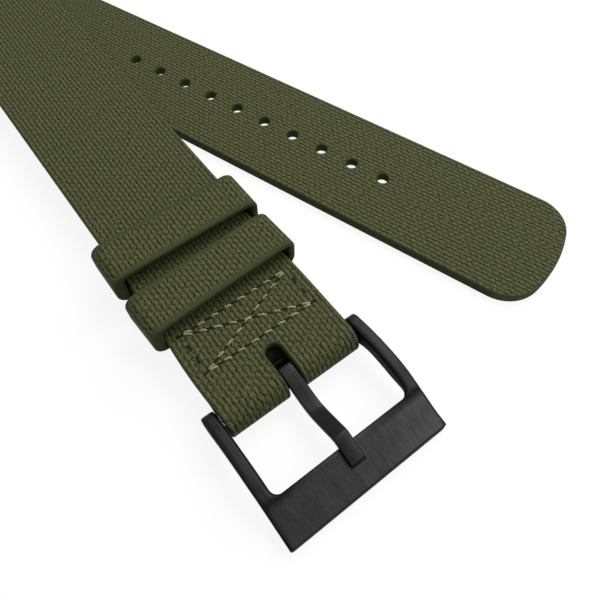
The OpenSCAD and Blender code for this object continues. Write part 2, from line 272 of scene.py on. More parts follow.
@dataclass(frozen=True)
class CanvasRubber:
    """Moulded rubber with a canvas relief: rows along the strap, each of staggered grains, with shade painted into
    its colour in the grooves, on each row's lee side, and, darker, wherever its mask marks it.
    """

    name: str = "canvas_rubber"
    crest: Colour = shade(85, 89, 55)
    # Colour of the painted shade in the grooves between the rows.
    groove_shade: Colour = shade(21, 22, 12)
    plain: Colour = shade(58, 62, 35)
    # Colour of the painted shade in the tongue's slot, on the band's side walls and on the keepers' end faces.
    painted_shade: Colour = shade(17, 18, 14)
    row_pitch: float = 0.755
    grain_pitch: float = 1.17
    scallop: float = 0.4
    relief: float = 0.00010
    sway_scale: float = 240.0
    jitter_scale: float = 1000.0
    speck_scale: float = 4800.0
    fibre_stretch: Triple = (1300.0, 4600.0, 1.0)
    fibre_turn: float = 0.35
    grit_scale: float = 9000.0
    patch_scale: float = 130.0

    def build(self) -> Material:
        """Lays the nodes.

        Returns:
            The rubber.
        """
        mix = Recipe(bpy.data.materials.new(self.name))
        plane, spot, mask = mix.plane(), mix.spot(), mix.mask(GRAIN_MASK)
        # Share of painted shade, read from the mesh's mask.
        shade_share = mix.mask(SHADE_MASK).smooth(0.5, 1.0)
        sway = mix.noise(plane, self.sway_scale, 1.0)
        jitter = mix.noise(plane, self.jitter_scale, 1.0)
        run = (mix.part(plane, "X") / MM + sway * 0.6 + jitter * 0.5) * (2 * math.pi / self.grain_pitch)
        row = (mix.part(plane, "Y") / MM + sway * 0.3 + jitter * 0.1) * (math.pi / self.row_pitch)
        wavy = row - row.sine() * run.cosine() * self.scallop
        rope = wavy.cosine().maths("ABSOLUTE")
        # Painted shade on the side of each row that faces away from the lamp behind.
        lee_shade = (wavy * 2.0).sine()
        grain = row.cosine() * run.cosine() * 0.5 + 0.5
        weave = rope * (grain * 0.3 + 0.7) + jitter * 0.2
        speck = mix.noise(plane, self.speck_scale)
        fibre = mix.noise(mix.stretch(plane, self.fibre_stretch, self.fibre_turn), 1.0)
        grit = mix.noise(spot, self.grit_scale, 3.0)
        height = (weave * 0.5 + speck * 0.35 + fibre * 0.3) * mask + (1 - mask) * 0.4 + grit * 0.05
        # The tone paints shade into the grooves and on each row's lee side, over the random fibre and specks.
        tone = (weave * 0.27 + lee_shade * 0.12 + fibre * 0.9 + speck * 1.2 + 0.36).smooth(0.14, 0.86)
        canvas = mix.blend(tone, self.groove_shade, self.crest)
        patch = mix.noise(spot, self.patch_scale, 3.0) * 0.30 + 0.5
        worn = mix.blend(patch, tinted(self.plain, 0.9), tinted(self.plain, 1.1))
        return mix.surface({
            "Base Color": mix.blend(shade_share, mix.blend(mask, worn, canvas), self.painted_shade),
            "Roughness": 0.80 - tone * mask * 0.10 + grit * 0.10,
            "Specular IOR Level": 0.10,
            "Normal": mix.bump(height, self.relief),
        })


@dataclass(frozen=True)
class TwistedThread:
    """Khaki polyester thread with its plies showing."""

    name: str = "twisted_thread"
    light: Colour = shade(176, 180, 128)
    dark: Colour = shade(96, 101, 62)
    plies: float = 7.0
    relief: float = 0.00005

    def build(self) -> Material:
        """Lays the nodes.

        Returns:
            The thread.
        """
        mix = Recipe(bpy.data.materials.new(self.name))
        plane = mix.plane()
        twist = mix.part(plane, "X") * self.plies + mix.part(plane, "Y")
        ply = (twist * (2 * math.pi)).cosine() * 0.5 + 0.5
        fuzz = mix.noise(mix.spot(), 14000.0, 3.0)
        tone = (ply + fuzz * 0.6).smooth(0.0, 1.0)
        return mix.surface({
            "Base Color": mix.blend(tone, self.dark, self.light),
            "Roughness": 0.72 + fuzz * 0.2,
            "Normal": mix.bump(ply + fuzz * 0.5, self.relief),
        })


@dataclass(frozen=True)
class NeedleHoleShade:
    """Painted deep shade where the needle has drawn the rubber in, laid on dark flat pieces in the slits."""

    name: str = "needle_hole_shade"
    # Colour of the painted shade.
    colour: Colour = shade(24, 26, 17)
    relief: float = 0.00003

    def build(self) -> Material:
        """Lays the nodes.

        Returns:
            The painted shade.
        """
        mix = Recipe(bpy.data.materials.new(self.name))
        grit = mix.noise(mix.spot(), 9000.0)
        return mix.surface({
            "Base Color": mix.blend(grit + 0.5, tinted(self.colour, 0.6), self.colour),
            "Roughness": 0.9 + grit * 0.1,
            "Specular IOR Level": 0.15,
            "Normal": mix.bump(grit, self.relief),
        })


@dataclass(frozen=True)
class BlackSteel:
    """Black coated steel, brushed along the strap before it was coated, with dark shade painted into its colour, and
    its finish duller, wherever its mask marks it.
    """

    name: str = "black_steel"
    # Colour of the painted shade on the frame's edges, plate rim and arms, and on the tongue's sides and eye.
    painted_shade: Colour = shade(8, 8, 8)
    low: Colour = shade(26, 26, 27)
    high: Colour = shade(49, 49, 50)
    stroke_count: float = 13000.0
    stroke_length: float = 420.0
    scratch_depth: float = 0.000005
    gloss: float = 0.36

    def build(self) -> Material:
        """Lays the nodes.

        Returns:
            The coated steel.
        """
        mix = Recipe(bpy.data.materials.new(self.name))
        spot, shade_share = mix.spot(), mix.mask(SHADE_MASK)
        fine = (self.stroke_length, self.stroke_count, self.stroke_count * 0.4)
        strokes = mix.noise(mix.stretch(spot, fine), 1.0, 3.0)
        broad = mix.noise(mix.stretch(spot, (self.stroke_length * 0.3, self.stroke_count * 0.16, 800.0)), 1.0)
        cloud = mix.noise(spot, 160.0)
        tone = (strokes * 0.9 + broad * 0.7 + cloud * 0.4 + 0.5).smooth(0.0, 1.0)
        return mix.surface({
            # The mask paints dark shade into the colour and makes the finish duller and fully metallic.
            "Base Color": mix.blend(shade_share, mix.blend(tone, self.low, self.high), self.painted_shade),
            "Metallic": 0.85 + shade_share * 0.15,
            "Roughness": self.gloss + strokes * 0.16 + cloud * 0.08 + shade_share * 0.4,
            "Normal": mix.bump(strokes * 0.8 + broad * 0.4, self.scratch_depth),
        })


@dataclass(frozen=True)
class BareSteel:
    """Turned stainless steel of the spring bar."""

    name: str = "bare_steel"
    low: Colour = shade(128, 128, 130)
    high: Colour = shade(186, 186, 188)
    ring_depth: float = 0.000006

    def build(self) -> Material:
        """Lays the nodes.

        Returns:
            The steel.
        """
        mix = Recipe(bpy.data.materials.new(self.name))
        spot = mix.spot()
        rings = mix.noise(mix.stretch(spot, (300.0, 14000.0, 300.0)), 1.0)
        stain = mix.noise(spot, 700.0)
        return mix.surface({
            "Base Color": mix.blend(rings * 0.8 + stain * 0.4 + 0.5, self.low, self.high),
            "Metallic": 1.0,
            "Roughness": 0.30 + rings * 0.18 + stain * 0.1,
            "Normal": mix.bump(rings, self.ring_depth),
        })


# Meshes


def arc(centre: tuple[float, float], radius: float, start: float, stop: float, steps: int) -> Outline:
    """Points on an arc.

    Args:
        centre: its centre.
        radius: its radius.
        start: angle of the first point, in degrees.
        stop: angle of the last point, in degrees.
        steps: number of chords.

    Returns:
        The points in order, both ends included.
    """
    turns = [math.radians(start + (stop - start) * i / steps) for i in range(steps + 1)]
    return [(centre[0] + radius * math.cos(t), centre[1] + radius * math.sin(t)) for t in turns]


def lower(first: float, second: float, soft: float) -> float:
    """The lower of two heights, with a soft passage where they meet."""
    return (first + second - math.hypot(first - second, soft)) / 2


def ease(share: float) -> float:
    """Smooth step from 0 to 1 of a share that is kept within them."""
    share = min(max(share, 0.0), 1.0)
    return share * share * (3 - 2 * share)


def linked(name: str, data: ID) -> Object:
    """Puts a new object in the scene.

    Args:
        name: its name.
        data: its mesh, curve, lamp or camera.

    Returns:
        The object.
    """
    made = bpy.data.objects.new(name, data)
    bpy.context.scene.collection.objects.link(made)
    return made


def evaluated(holder: Object) -> Mesh:
    """Takes a working object's mesh with its modifiers applied, and removes the object.

    Args:
        holder: the object.

    Returns:
        The plain mesh.
    """
    bpy.context.view_layer.update()
    mesh = bpy.data.meshes.new_from_object(holder.evaluated_get(bpy.context.evaluated_depsgraph_get()))
    bpy.data.objects.remove(holder)
    return mesh


def mesh_of(shape: BMesh, name: str) -> Mesh:
    """Turns a working shape into a mesh and frees it.

    Args:
        shape: the shape.
        name: the mesh's name.

    Returns:
        The mesh.
    """
    mesh = bpy.data.meshes.new(name)
    shape.to_mesh(mesh)
    shape.free()
    return mesh


def rounded_plate(outlines: list[Outline], thickness: float, rounding: float, name: str,
                  steps: int = 2) -> BMesh:
    """Flat plate with holes whose edges are all rounded.

    Args:
        outlines: the outer line and the lines of the holes, in millimetres.
        thickness: its thickness.
        rounding: radius of its edges.
        name: name for the working curve.
        steps: fineness of the rounding.

    Returns:
        The plate, centred on Z = 0.
    """
    curve = bpy.data.curves.new(name, "CURVE")
    curve.dimensions = "2D"
    curve.fill_mode = "BOTH"
    curve.extrude = thickness / 2 - rounding
    curve.bevel_depth = rounding
    curve.bevel_resolution = steps
    curve.offset = -rounding
    for outline in outlines:
        spline = curve.splines.new("POLY")
        spline.points.add(len(outline) - 1)
        for point, (x, y) in zip(spline.points, outline):
            point.co = (x, y, 0.0, 1.0)
        spline.use_cyclic_u = True
    flat = evaluated(linked(name, curve))
    bpy.data.curves.remove(curve)
    shape = bmesh.new()
    shape.from_mesh(flat)
    bpy.data.meshes.remove(flat)
    bmesh.ops.remove_doubles(shape, verts=shape.verts, dist=1e-4)
    return shape


def slice_at(shape: BMesh, places: list[float], normal: tuple[float, ...] = (1.0, 0.0, 0.0)) -> None:
    """Cuts every face that a row of parallel planes crosses, and keeps all sides.

    Args:
        shape: the shape to cut.
        places: the planes' distances from the origin.
        normal: their direction.
    """
    for place in places:
        parts = [*shape.verts, *shape.edges, *shape.faces]
        bmesh.ops.bisect_plane(shape, geom=parts, dist=1e-5, plane_co=[place * v for v in normal],
                               plane_no=normal)


def finished(mesh: Mesh, name: str, material: Material, crease: float = 40.0) -> Object:
    """Puts a mesh in the scene, smooth except at its sharp edges.

    Args:
        mesh: the mesh, in metres.
        name: the piece's name.
        material: its finish.
        crease: angle from which an edge stays sharp, in degrees.

    Returns:
        The piece.
    """
    mesh.materials.clear()
    mesh.materials.append(material)
    mesh.polygons.foreach_set("use_smooth", [True] * len(mesh.polygons))
    mesh.set_sharp_from_angle(angle=math.radians(crease))
    return linked(name, mesh)


def even_normals(piece: Object) -> Object:
    """Lets the large flat faces of a piece set its shading.

    Args:
        piece: the piece.

    Returns:
        The same piece.
    """
    weighted = piece.modifiers.new("even_normals", "WEIGHTED_NORMAL")
    weighted.keep_sharp = True
    weighted.weight = 80
    return piece


def settle(piece: Object, body: Body, node: str) -> None:
    """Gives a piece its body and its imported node.

    Args:
        piece: the finished piece.
        body: the body that it rides on.
        node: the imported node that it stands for.
    """
    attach(piece, body.value)
    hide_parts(node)
    LOG.info("%s: %d faces, for %s", piece.name, len(piece.data.polygons), node)


@dataclass
class StrapLayout:
    """Sizes of the folded band in millimetres, with the first tongue hole at the origin."""

    width: float = 22.0
    thickness: float = 1.8
    tail: float = 139.7
    arm: float = 124.1
    spread: float = 19.5
    tip_corner: float = 6.5
    tip_curve: float = 25.0
    holes: int = 10
    hole_radius: float = 1.05
    hole_pitch: float = 6.4
    first_hole: float = 49.8
    turn_radius: float = 3.0
    turn_over: float = 20.0
    loop_radius: float = 1.15
    flap: float = 13.3
    ramp: float = 4.6
    slot_width: float = 2.62
    slot_back: float = 4.1
    slot_under: float = 2.5
    slot_corner: float = 0.4
    flap_corner: float = 0.6
    flare_left: float = 0.5
    flare_right: float = 0.14
    flare_start: float = 20.0
    flare_run: float = 12.0
    fade_start: float = 6.0
    fade_run: float = 8.0
    fade_share: float = 0.6
    keeper_skew: float = 2.6
    keeper_pitch: float = 10.25

    def __post_init__(self) -> None:
        """Works out the places that follow from the sizes."""
        self.half = math.radians(self.spread / 2)
        self.loop_mid = self.loop_radius + self.thickness / 2
        self.bar_z = self.loop_radius + self.thickness
        self.arm_z = 2 * self.bar_z - self.thickness
        self.bar_u = self.arm - self.bar_z
        self.cross = Vector((-math.cos(2 * self.half), -math.sin(2 * self.half))) * self.first_hole
        self.bar_x = self.cross.x + self.bar_u
        over = math.radians(self.turn_over)
        self.over = over
        self.back_radius = (self.turn_radius * (1 + math.cos(over)) - self.arm_z) / (1 - math.cos(over))
        self.turn_main = self.turn_radius * (math.pi + over)
        self.turn_all = self.turn_main + self.back_radius * over
        run = (self.turn_radius + self.back_radius) * math.sin(over)
        self.turn_in = (self.turn_all - run) / 2
        self.turn_out = self.turn_in + run
        self.loop_length = math.pi * self.loop_mid
        self.under_start = self.bar_u + self.loop_length
        self.end = self.under_start + self.flap

    def at_bar(self, x: float, y: float, z: float) -> Vector:
        """Place in metres of a point measured from the bar's middle."""
        return Vector((self.bar_x + x, self.cross.y + y, self.bar_z + z)) * MM


@dataclass
class FoldedBand:
    """The rubber band: cut flat with its holes, rounded, then folded and looped into place."""

    layout: StrapLayout
    rubber: Material
    rounding: float = 0.28
    step: float = 2.5
    loop_cuts: int = 24
    ramp_cuts: int = 10
    turn_cuts: int = 30
    back_cuts: int = 12
    # Painted shade: on the side walls, and on the inner face from a little before the tongue's slot onwards.
    side_depth: float = 0.1
    band_side_shade: float = 0.74
    shade_before: float = 1.0
    name: str = "folded_band"

    def outlines(self) -> list[Outline]:
        """Lines of the flat band.

        Returns:
            The outer line, the tongue holes and the tongue's slot; X runs from the tip to the flap.
        """
        lay = self.layout
        edge = lay.width / 2
        corner_y = edge - lay.tip_corner
        curve_x = -(lay.tail - lay.tip_curve)
        reach = lay.tip_curve - lay.tip_corner
        corner_x = curve_x - math.sqrt(reach ** 2 - corner_y ** 2)
        lean = math.degrees(math.asin(corner_y / reach))
        outer = arc((corner_x, corner_y), lay.tip_corner, 90, 180 - lean, 14)
        outer += arc((curve_x, 0), lay.tip_curve, 180 - lean, 180 + lean, 14)[1:-1]
        outer += arc((corner_x, -corner_y), lay.tip_corner, 180 + lean, 270, 14)
        soft = lay.flap_corner
        outer += arc((lay.end - soft, soft - edge), soft, -90, 0, 4)
        outer += arc((lay.end - soft, edge - soft), soft, 0, 90, 4)
        holes = [arc((-lay.first_hole - i * lay.hole_pitch, 0), lay.hole_radius, 0, 345, 23)
                 for i in range(lay.holes)]
        r, soft = lay.slot_width / 2, lay.slot_corner
        front = lay.under_start + lay.slot_under - soft
        slot = arc((front, soft - r), soft, -90, 0, 4) + arc((front, r - soft), soft, 0, 90, 4)
        slot += arc((lay.bar_u - lay.slot_back + r, 0), r, 90, 270, 16)
        return [outer, *holes, slot]

    def slice(self, shape: BMesh) -> None:
        """Cuts the flat band wherever it is going to bend.

        Args:
            shape: the flat band.
        """
        lay = self.layout
        steps = int((lay.tail + lay.end) / self.step)
        slice_at(shape, [-lay.tail + i * self.step for i in range(1, steps)])
        slice_at(shape, [lay.bar_u + lay.loop_length * i / self.loop_cuts for i in range(self.loop_cuts + 1)])
        slice_at(shape, [lay.under_start + lay.ramp * i / self.ramp_cuts for i in range(1, self.ramp_cuts + 1)])
        lean = (math.cos(lay.half), math.sin(lay.half), 0.0)
        turn, back = lay.turn_main, lay.turn_all - lay.turn_main
        slice_at(shape, [turn * i / self.turn_cuts - lay.turn_in for i in range(self.turn_cuts + 1)], lean)
        slice_at(shape, [turn + back * i / self.back_cuts - lay.turn_in for i in range(1, self.back_cuts + 1)], lean)

    def place(self, a: float, w: float, n: float) -> Vector:
        """Folds one point of the flat band into place.

        Args:
            a: place along the band, from where the two centre lines cross.
            w: place across it.
            n: height over its middle, towards its outer face.

        Returns:
            The point, in millimetres.
        """
        lay = self.layout
        mid = lay.thickness / 2
        fade = lay.fade_share * ease((a - lay.bar_u + lay.fade_start) / lay.fade_run)
        flare = lay.flare_left * (1 - fade) if w < 0 else lay.flare_right
        w += w / (lay.width / 2) * flare * ease((a - lay.bar_u + lay.flare_start) / lay.flare_run)
        if a >= lay.under_start:
            back = a - lay.under_start
            rise = (lay.arm_z - lay.thickness) * ease(back / lay.ramp)
            return Vector((lay.bar_x - back, lay.cross.y + w, mid - n + rise))
        if a > lay.bar_u:
            turn = (a - lay.bar_u) / lay.loop_mid
            r = lay.loop_mid + n
            return Vector((lay.bar_x + r * math.sin(turn), lay.cross.y + w, lay.bar_z + r * math.cos(turn)))
        s = lay.turn_in + a * math.cos(lay.half) + w * math.sin(lay.half)
        q = -a * math.sin(lay.half) + w * math.cos(lay.half)
        if s <= 0:
            p, z = lay.turn_in - s, mid - n
        elif s <= lay.turn_main:
            t = s / lay.turn_radius
            r = lay.turn_radius + n
            p, z = lay.turn_in - r * math.sin(t), mid + lay.turn_radius - r * math.cos(t)
        elif s <= lay.turn_all:
            t = lay.over - (s - lay.turn_main) / lay.back_radius
            r = lay.back_radius - n
            e_p = lay.turn_in + (lay.turn_radius + lay.back_radius) * math.sin(lay.over)
            p, z = e_p - r * math.sin(t), lay.arm_z + mid + lay.back_radius - r * math.cos(t)
        else:
            p, z = lay.turn_out + s - lay.turn_all, lay.arm_z + mid + n
        c, d = math.cos(lay.half), math.sin(lay.half)
        return Vector((lay.cross.x + p * c - q * d, lay.cross.y + p * d + q * c, z))

    def build(self) -> None:
        """Makes the folded band."""
        lay = self.layout
        shape = rounded_plate(self.outlines(), lay.thickness, self.rounding, self.name)
        self.slice(shape)
        plane = shape.loops.layers.uv.new(GRAIN_UV)
        grain = shape.verts.layers.float.new(GRAIN_MASK)
        painted_shade = shape.verts.layers.float.new(SHADE_MASK)
        for face in shape.faces:
            for loop in face.loops:
                loop[plane].uv = (loop.vert.co.x * MM, loop.vert.co.y * MM)
        shade_start = lay.bar_u - lay.slot_back - self.shade_before
        for vert in shape.verts:
            a, w, n = vert.co
            vert[grain] = 1.0 if abs(n) > lay.thickness / 2 - 1e-3 else 0.0
            # Painted shade on the side walls.
            if vert[grain] < 0.5 and abs(w) > lay.width / 2 - self.side_depth:
                vert[painted_shade] = self.band_side_shade
            # Painted shade on the inner face in and before the tongue's slot, where it has no grain.
            if n < -0.1 and a > shade_start:
                vert[grain] = 0.0
                vert[painted_shade] = 1.0
            vert.co = self.place(a, w, n) * MM
        piece = even_normals(finished(mesh_of(shape, self.name), self.name, self.rubber))
        settle(piece, Body.STRAP, "band")


@dataclass
class RubberKeeper:
    """A rubber loop round the band, rounded at every edge, and thicker at its left, where its ends are joined."""

    layout: StrapLayout
    rubber: Material
    name: str
    body: Body
    behind: float = 0.0
    skew: float = 0.0
    length: float = 7.5
    inner_width: float = 22.7
    inner_height: float = 4.0
    wall: float = 1.15
    joint: float = 0.8
    corner: float = 2.0
    inner_corner: float = 0.5
    rounding: float = 0.5
    smooth_edge: float = 0.7
    stop_gap: float = 0.1
    play_under: float = 0.15
    # Painted shade on the end faces.
    end_depth: float = 0.12
    end_shade: float = 0.62

    def __post_init__(self) -> None:
        """Works out the outer sizes."""
        self.width = self.inner_width + 2 * self.wall + self.joint
        self.height = self.inner_height + 2 * self.wall

    def middle(self) -> Vector:
        """Where the keeper's middle is.

        Returns:
            The place in millimetres; the front keeper's nearest corner just clears the end of the flap.
        """
        lay = self.layout
        turn = math.radians(lay.keeper_skew)
        reach = self.length / 2 * math.cos(turn) + (self.width + self.joint) / 2 * math.sin(turn)
        back = lay.flap + self.stop_gap + reach + self.behind
        return Vector((lay.bar_x - back, lay.cross.y, lay.arm_z - self.play_under + self.inner_height / 2))

    def ring(self, width: float, height: float, radius: float) -> Outline:
        """Rounded rectangle round the origin.

        Args:
            width: its width.
            height: its height.
            radius: its corner radius.

        Returns:
            Its points.
        """
        x, y = width / 2 - radius, height / 2 - radius
        points = []
        for cx, cy, start in ((x, y, 0), (-x, y, 90), (-x, -y, 180), (x, -y, 270)):
            points += arc((cx, cy), radius, start, start + 90, 6)
        return points

    def build(self) -> None:
        """Makes the keeper."""
        outer = [(x - self.joint / 2, y) for x, y in self.ring(self.width, self.height, self.corner)]
        inner = self.ring(self.inner_width, self.inner_height, self.inner_corner)
        shape = rounded_plate([outer, inner], self.length, self.rounding, self.name, 4)
        rim = self.length / 2 - self.rounding - self.smooth_edge
        slice_at(shape, [-rim, rim], (0.0, 0.0, 1.0))
        plane = shape.loops.layers.uv.new(GRAIN_UV)
        grain = shape.verts.layers.float.new(GRAIN_MASK)
        painted_shade = shape.verts.layers.float.new(SHADE_MASK)
        for face in shape.faces:
            on_side = abs(face.normal.x) > abs(face.normal.y)
            for loop in face.loops:
                x, y, z = loop.vert.co
                round_it = math.copysign(self.width / 2 + self.height / 2 - y, x) if on_side else x
                loop[plane].uv = (z * MM, round_it * MM)
        turn = Matrix.Rotation(math.radians(self.skew), 3, "Z")
        middle = self.middle()
        for vert in shape.verts:
            x, y, z = vert.co
            vert[grain] = 1.0 if abs(z) < rim + 1e-3 else 0.0
            # Painted shade on the end faces.
            vert[painted_shade] = self.end_shade if abs(z) > self.length / 2 - self.end_depth else 0.0
            vert.co = (turn @ Vector((z, x, y)) + middle) * MM
        piece = even_normals(finished(mesh_of(shape, self.name), self.name, self.rubber))
        settle(piece, self.body, self.body.value)


@dataclass
class StitchedBox:
    """The sewn box with its two diagonals, as single stitches, with dark flat pieces that paint the shade in the
    slits that the needle has left.
    """

    layout: StrapLayout
    thread: Material
    hole_shade: Material
    face: Face
    pitch: float = 2.3
    visible: float = 1.0
    radius: float = 0.15
    crest: float = 0.12
    slit: float = 1.35
    slit_width: float = 0.34
    slit_crest: float = 0.012
    lean: float = 9.0
    near: float = 5.8
    far: float = 12.75
    side: float = 9.25

    def seams(self, sunk: bool) -> list[tuple[Vector, Vector]]:
        """Ends of the seams on the face, in millimetres.

        Args:
            sunk: whether the two short seams come too, whose thread has sunk into the rubber.

        Returns:
            Both ends of each seam.
        """
        lay = self.layout
        z = lay.arm_z + self.face.value * lay.thickness
        x0, x1 = lay.bar_x - self.far, lay.bar_x - self.near
        y0, y1 = lay.cross.y - self.side, lay.cross.y + self.side
        corners = [((x0, y0), (x0, y1)), ((x1, y1), (x1, y0)), ((x0, y0), (x1, y1)), ((x1, y0), (x0, y1))]
        if sunk:
            corners += [((x0, y1), (x1, y1)), ((x1, y0), (x0, y0))]
        return [(Vector((*a, z)), Vector((*b, z))) for a, b in corners]

    def guide(self, inset: bool) -> Object:
        """Seam lines as loose edges, cut into stitches.

        Args:
            inset: whether the points are the middles of the stitches, and not their ends.

        Returns:
            The guide.
        """
        points, edges = [], []
        for a, b in self.seams(not inset):
            count = round((b - a).length / self.pitch)
            half = (b - a) / count / 2
            if inset:
                first, last, n = a + half, b - half, count - 1
            elif (b - a).length < self.side:
                first, last, n = a + 2 * half, b - 2 * half, count - 2
            else:
                first, last, n = a, b - 2 * half, count - 1
            start = len(points)
            points += [(first + (last - first) * i / max(n, 1)) * MM for i in range(n + 1)]
            edges += [(start + i, start + i + 1) for i in range(n)]
        mesh = bpy.data.meshes.new("seam_guide")
        mesh.from_pydata([tuple(p) for p in points], edges, [])
        return linked("seam_guide", mesh)

    def tree(self, name: str, material: Material) -> NodeTree:
        """Geometry nodes that put one arched stitch on every point of the seam lines.

        Args:
            name: the tree's name.
            material: the finish that it sets.

        Returns:
            The tree.
        """
        tree = bpy.data.node_groups.new(name, "GeometryNodeTree")
        tree.interface.new_socket("Seams", in_out="INPUT", socket_type="NodeSocketGeometry")
        for label in ("Stitch Length", "Thread Radius", "Crest", "Flattening", "Lean", "Unevenness"):
            tree.interface.new_socket(label, in_out="INPUT", socket_type="NodeSocketFloat")
        tree.interface.new_socket("Stitches", in_out="OUTPUT", socket_type="NodeSocketGeometry")
        bench = Bench(tree)
        entry = bench.add("NodeGroupInput").socket.node.outputs
        seams, length, radius, crest, flat, lean, uneven = (Wire(tree, entry[i]) for i in range(7))
        half = length / 2.0
        line = bench.add("GeometryNodeCurvePrimitiveLine", {},
                         {"Start": bench.vector(half * -1.0), "End": bench.vector(half)})
        fine = bench.add("GeometryNodeResampleCurve", {}, {"Curve": line, "Count": 9})
        share = bench.part(bench.add("GeometryNodeInputPosition"), "X") / half
        lift = (share * share * -1.6 + 1.0) * crest
        bow = bench.add("GeometryNodeSetPosition", {}, {"Geometry": fine, "Offset": bench.vector(0.0, 0.0, lift)})
        ring = bench.add("GeometryNodeCurvePrimitiveCircle", {}, {"Resolution": 10, "Radius": radius})
        oval = bench.add("GeometryNodeTransform", {}, {"Geometry": ring, "Scale": bench.vector(1.0, flat, 1.0)})
        place = bench.add("GeometryNodeSplineParameter", out="Factor")
        marked = [bench.add("GeometryNodeStoreNamedAttribute", {"domain": "POINT", "data_type": "FLOAT"},
                            {"Geometry": curve, "Name": label, "Value": place})
                  for curve, label in ((bow, "run"), (oval, "turn"))]
        tube = bench.add("GeometryNodeCurveToMesh", {},
                         {"Curve": marked[0], "Profile Curve": marked[1], "Fill Caps": True})
        path = bench.add("GeometryNodeMeshToCurve", {}, {"Mesh": seams})
        dots = bench.add("GeometryNodeCurveToPoints", {"mode": "EVALUATED"}, {"Curve": path}, "Points")
        tangent = Wire(tree, dots.socket.node.outputs["Tangent"])
        aim = bench.add("FunctionNodeAlignRotationToVector", {"axis": "X"}, {"Vector": tangent})
        low, high = 1.0 - uneven, uneven + 1.0
        chances = [bench.add("FunctionNodeRandomValue", {"data_type": "FLOAT"}, {2: least, 3: most, "Seed": seed}, 1)
                   for least, most, seed in ((low, high, 7), (low, high, 3), (0.5, 1.5, 11))]
        tilt = bench.add("FunctionNodeAxisAngleToRotation", {},
                         {"Axis": (0.0, 0.0, 1.0), "Angle": chances[2] * lean})
        turned = bench.add("FunctionNodeRotateRotation", {"rotation_space": "LOCAL"},
                           {"Rotation": aim, "Rotate By": tilt})
        placed = bench.add("GeometryNodeInstanceOnPoints", {},
                           {"Points": dots, "Instance": tube, "Rotation": turned,
                            "Scale": bench.vector(chances[0], chances[1], 1.0)})
        real = bench.add("GeometryNodeRealizeInstances", {}, {"Geometry": placed})
        smooth = bench.add("GeometryNodeSetShadeSmooth", {}, {"Geometry": real})
        dressed = bench.add("GeometryNodeSetMaterial", {}, {"Geometry": smooth, "Material": material})
        bench.add("NodeGroupOutput", {}, {0: dressed})
        return tree

    def sew(self, name: str, material: Material, inset: bool, sizes: dict[str, float]) -> Object:
        """Runs the tree once and keeps its result as a plain mesh.

        Args:
            name: the piece's name.
            material: its finish.
            inset: whether the stitches sit between the needle holes, and not on them.
            sizes: the tree's named inputs, in metres.

        Returns:
            The piece.
        """
        guide = self.guide(inset)
        tree = self.tree(name, material)
        modifier = guide.modifiers.new(name, "NODES")
        modifier.node_group = tree
        for item in tree.interface.items_tree:
            if item.in_out == "INPUT" and item.name in sizes:
                modifier[item.identifier] = sizes[item.name]
        mesh = evaluated(guide)
        self.lay_plies(mesh)
        return finished(mesh, name, material, THREAD_CREASE)

    def lay_plies(self, mesh: Mesh) -> None:
        """Turns the stored places along and round each stitch into a UV map.

        Args:
            mesh: the sewn mesh.
        """
        places = {}
        for label in ("run", "turn"):
            if label not in mesh.attributes:
                raise ValueError("the stitches have lost their places along the thread")
            places[label] = [0.0] * len(mesh.vertices)
            mesh.attributes[label].data.foreach_get("value", places[label])
            mesh.attributes.remove(mesh.attributes[label])
        run, turn = places["run"], places["turn"]
        plane = mesh.uv_layers.new(name=GRAIN_UV)
        for face in mesh.polygons:
            corners = [mesh.loops[i].vertex_index for i in face.loop_indices]
            seam = max(turn[v] for v in corners) - min(turn[v] for v in corners) > 0.5
            for i, v in zip(face.loop_indices, corners):
                wrapped = turn[v] + 1.0 if seam and turn[v] < 0.5 else turn[v]
                plane.data[i].uv = (run[v], wrapped)

    def build(self) -> None:
        """Makes the stitches, and the dark flat pieces that paint the shade in their needle holes."""
        side = self.face.value
        label = self.face.name.lower()
        stitches = self.sew(f"stitches_{label}", self.thread, True, {
            "Stitch Length": self.visible * MM, "Thread Radius": self.radius * MM,
            "Crest": self.crest * MM * side, "Flattening": 1.0,
            "Lean": math.radians(-self.lean), "Unevenness": 0.14})
        # Dark flat pieces in the needle slits, painted shade.
        holes = self.sew(f"needle_slit_shade_{label}", self.hole_shade, False, {
            "Stitch Length": self.slit * MM, "Thread Radius": self.slit_width / 2 * MM,
            "Crest": self.slit_crest * MM * side, "Flattening": 0.12,
            "Lean": math.radians(-self.lean / 2), "Unevenness": 0.18})
        node = "needle_thread" if self.face is Face.TOP else "bobbin_thread"
        settle(stitches, Body.STRAP, node)
        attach(holes, Body.STRAP.value)


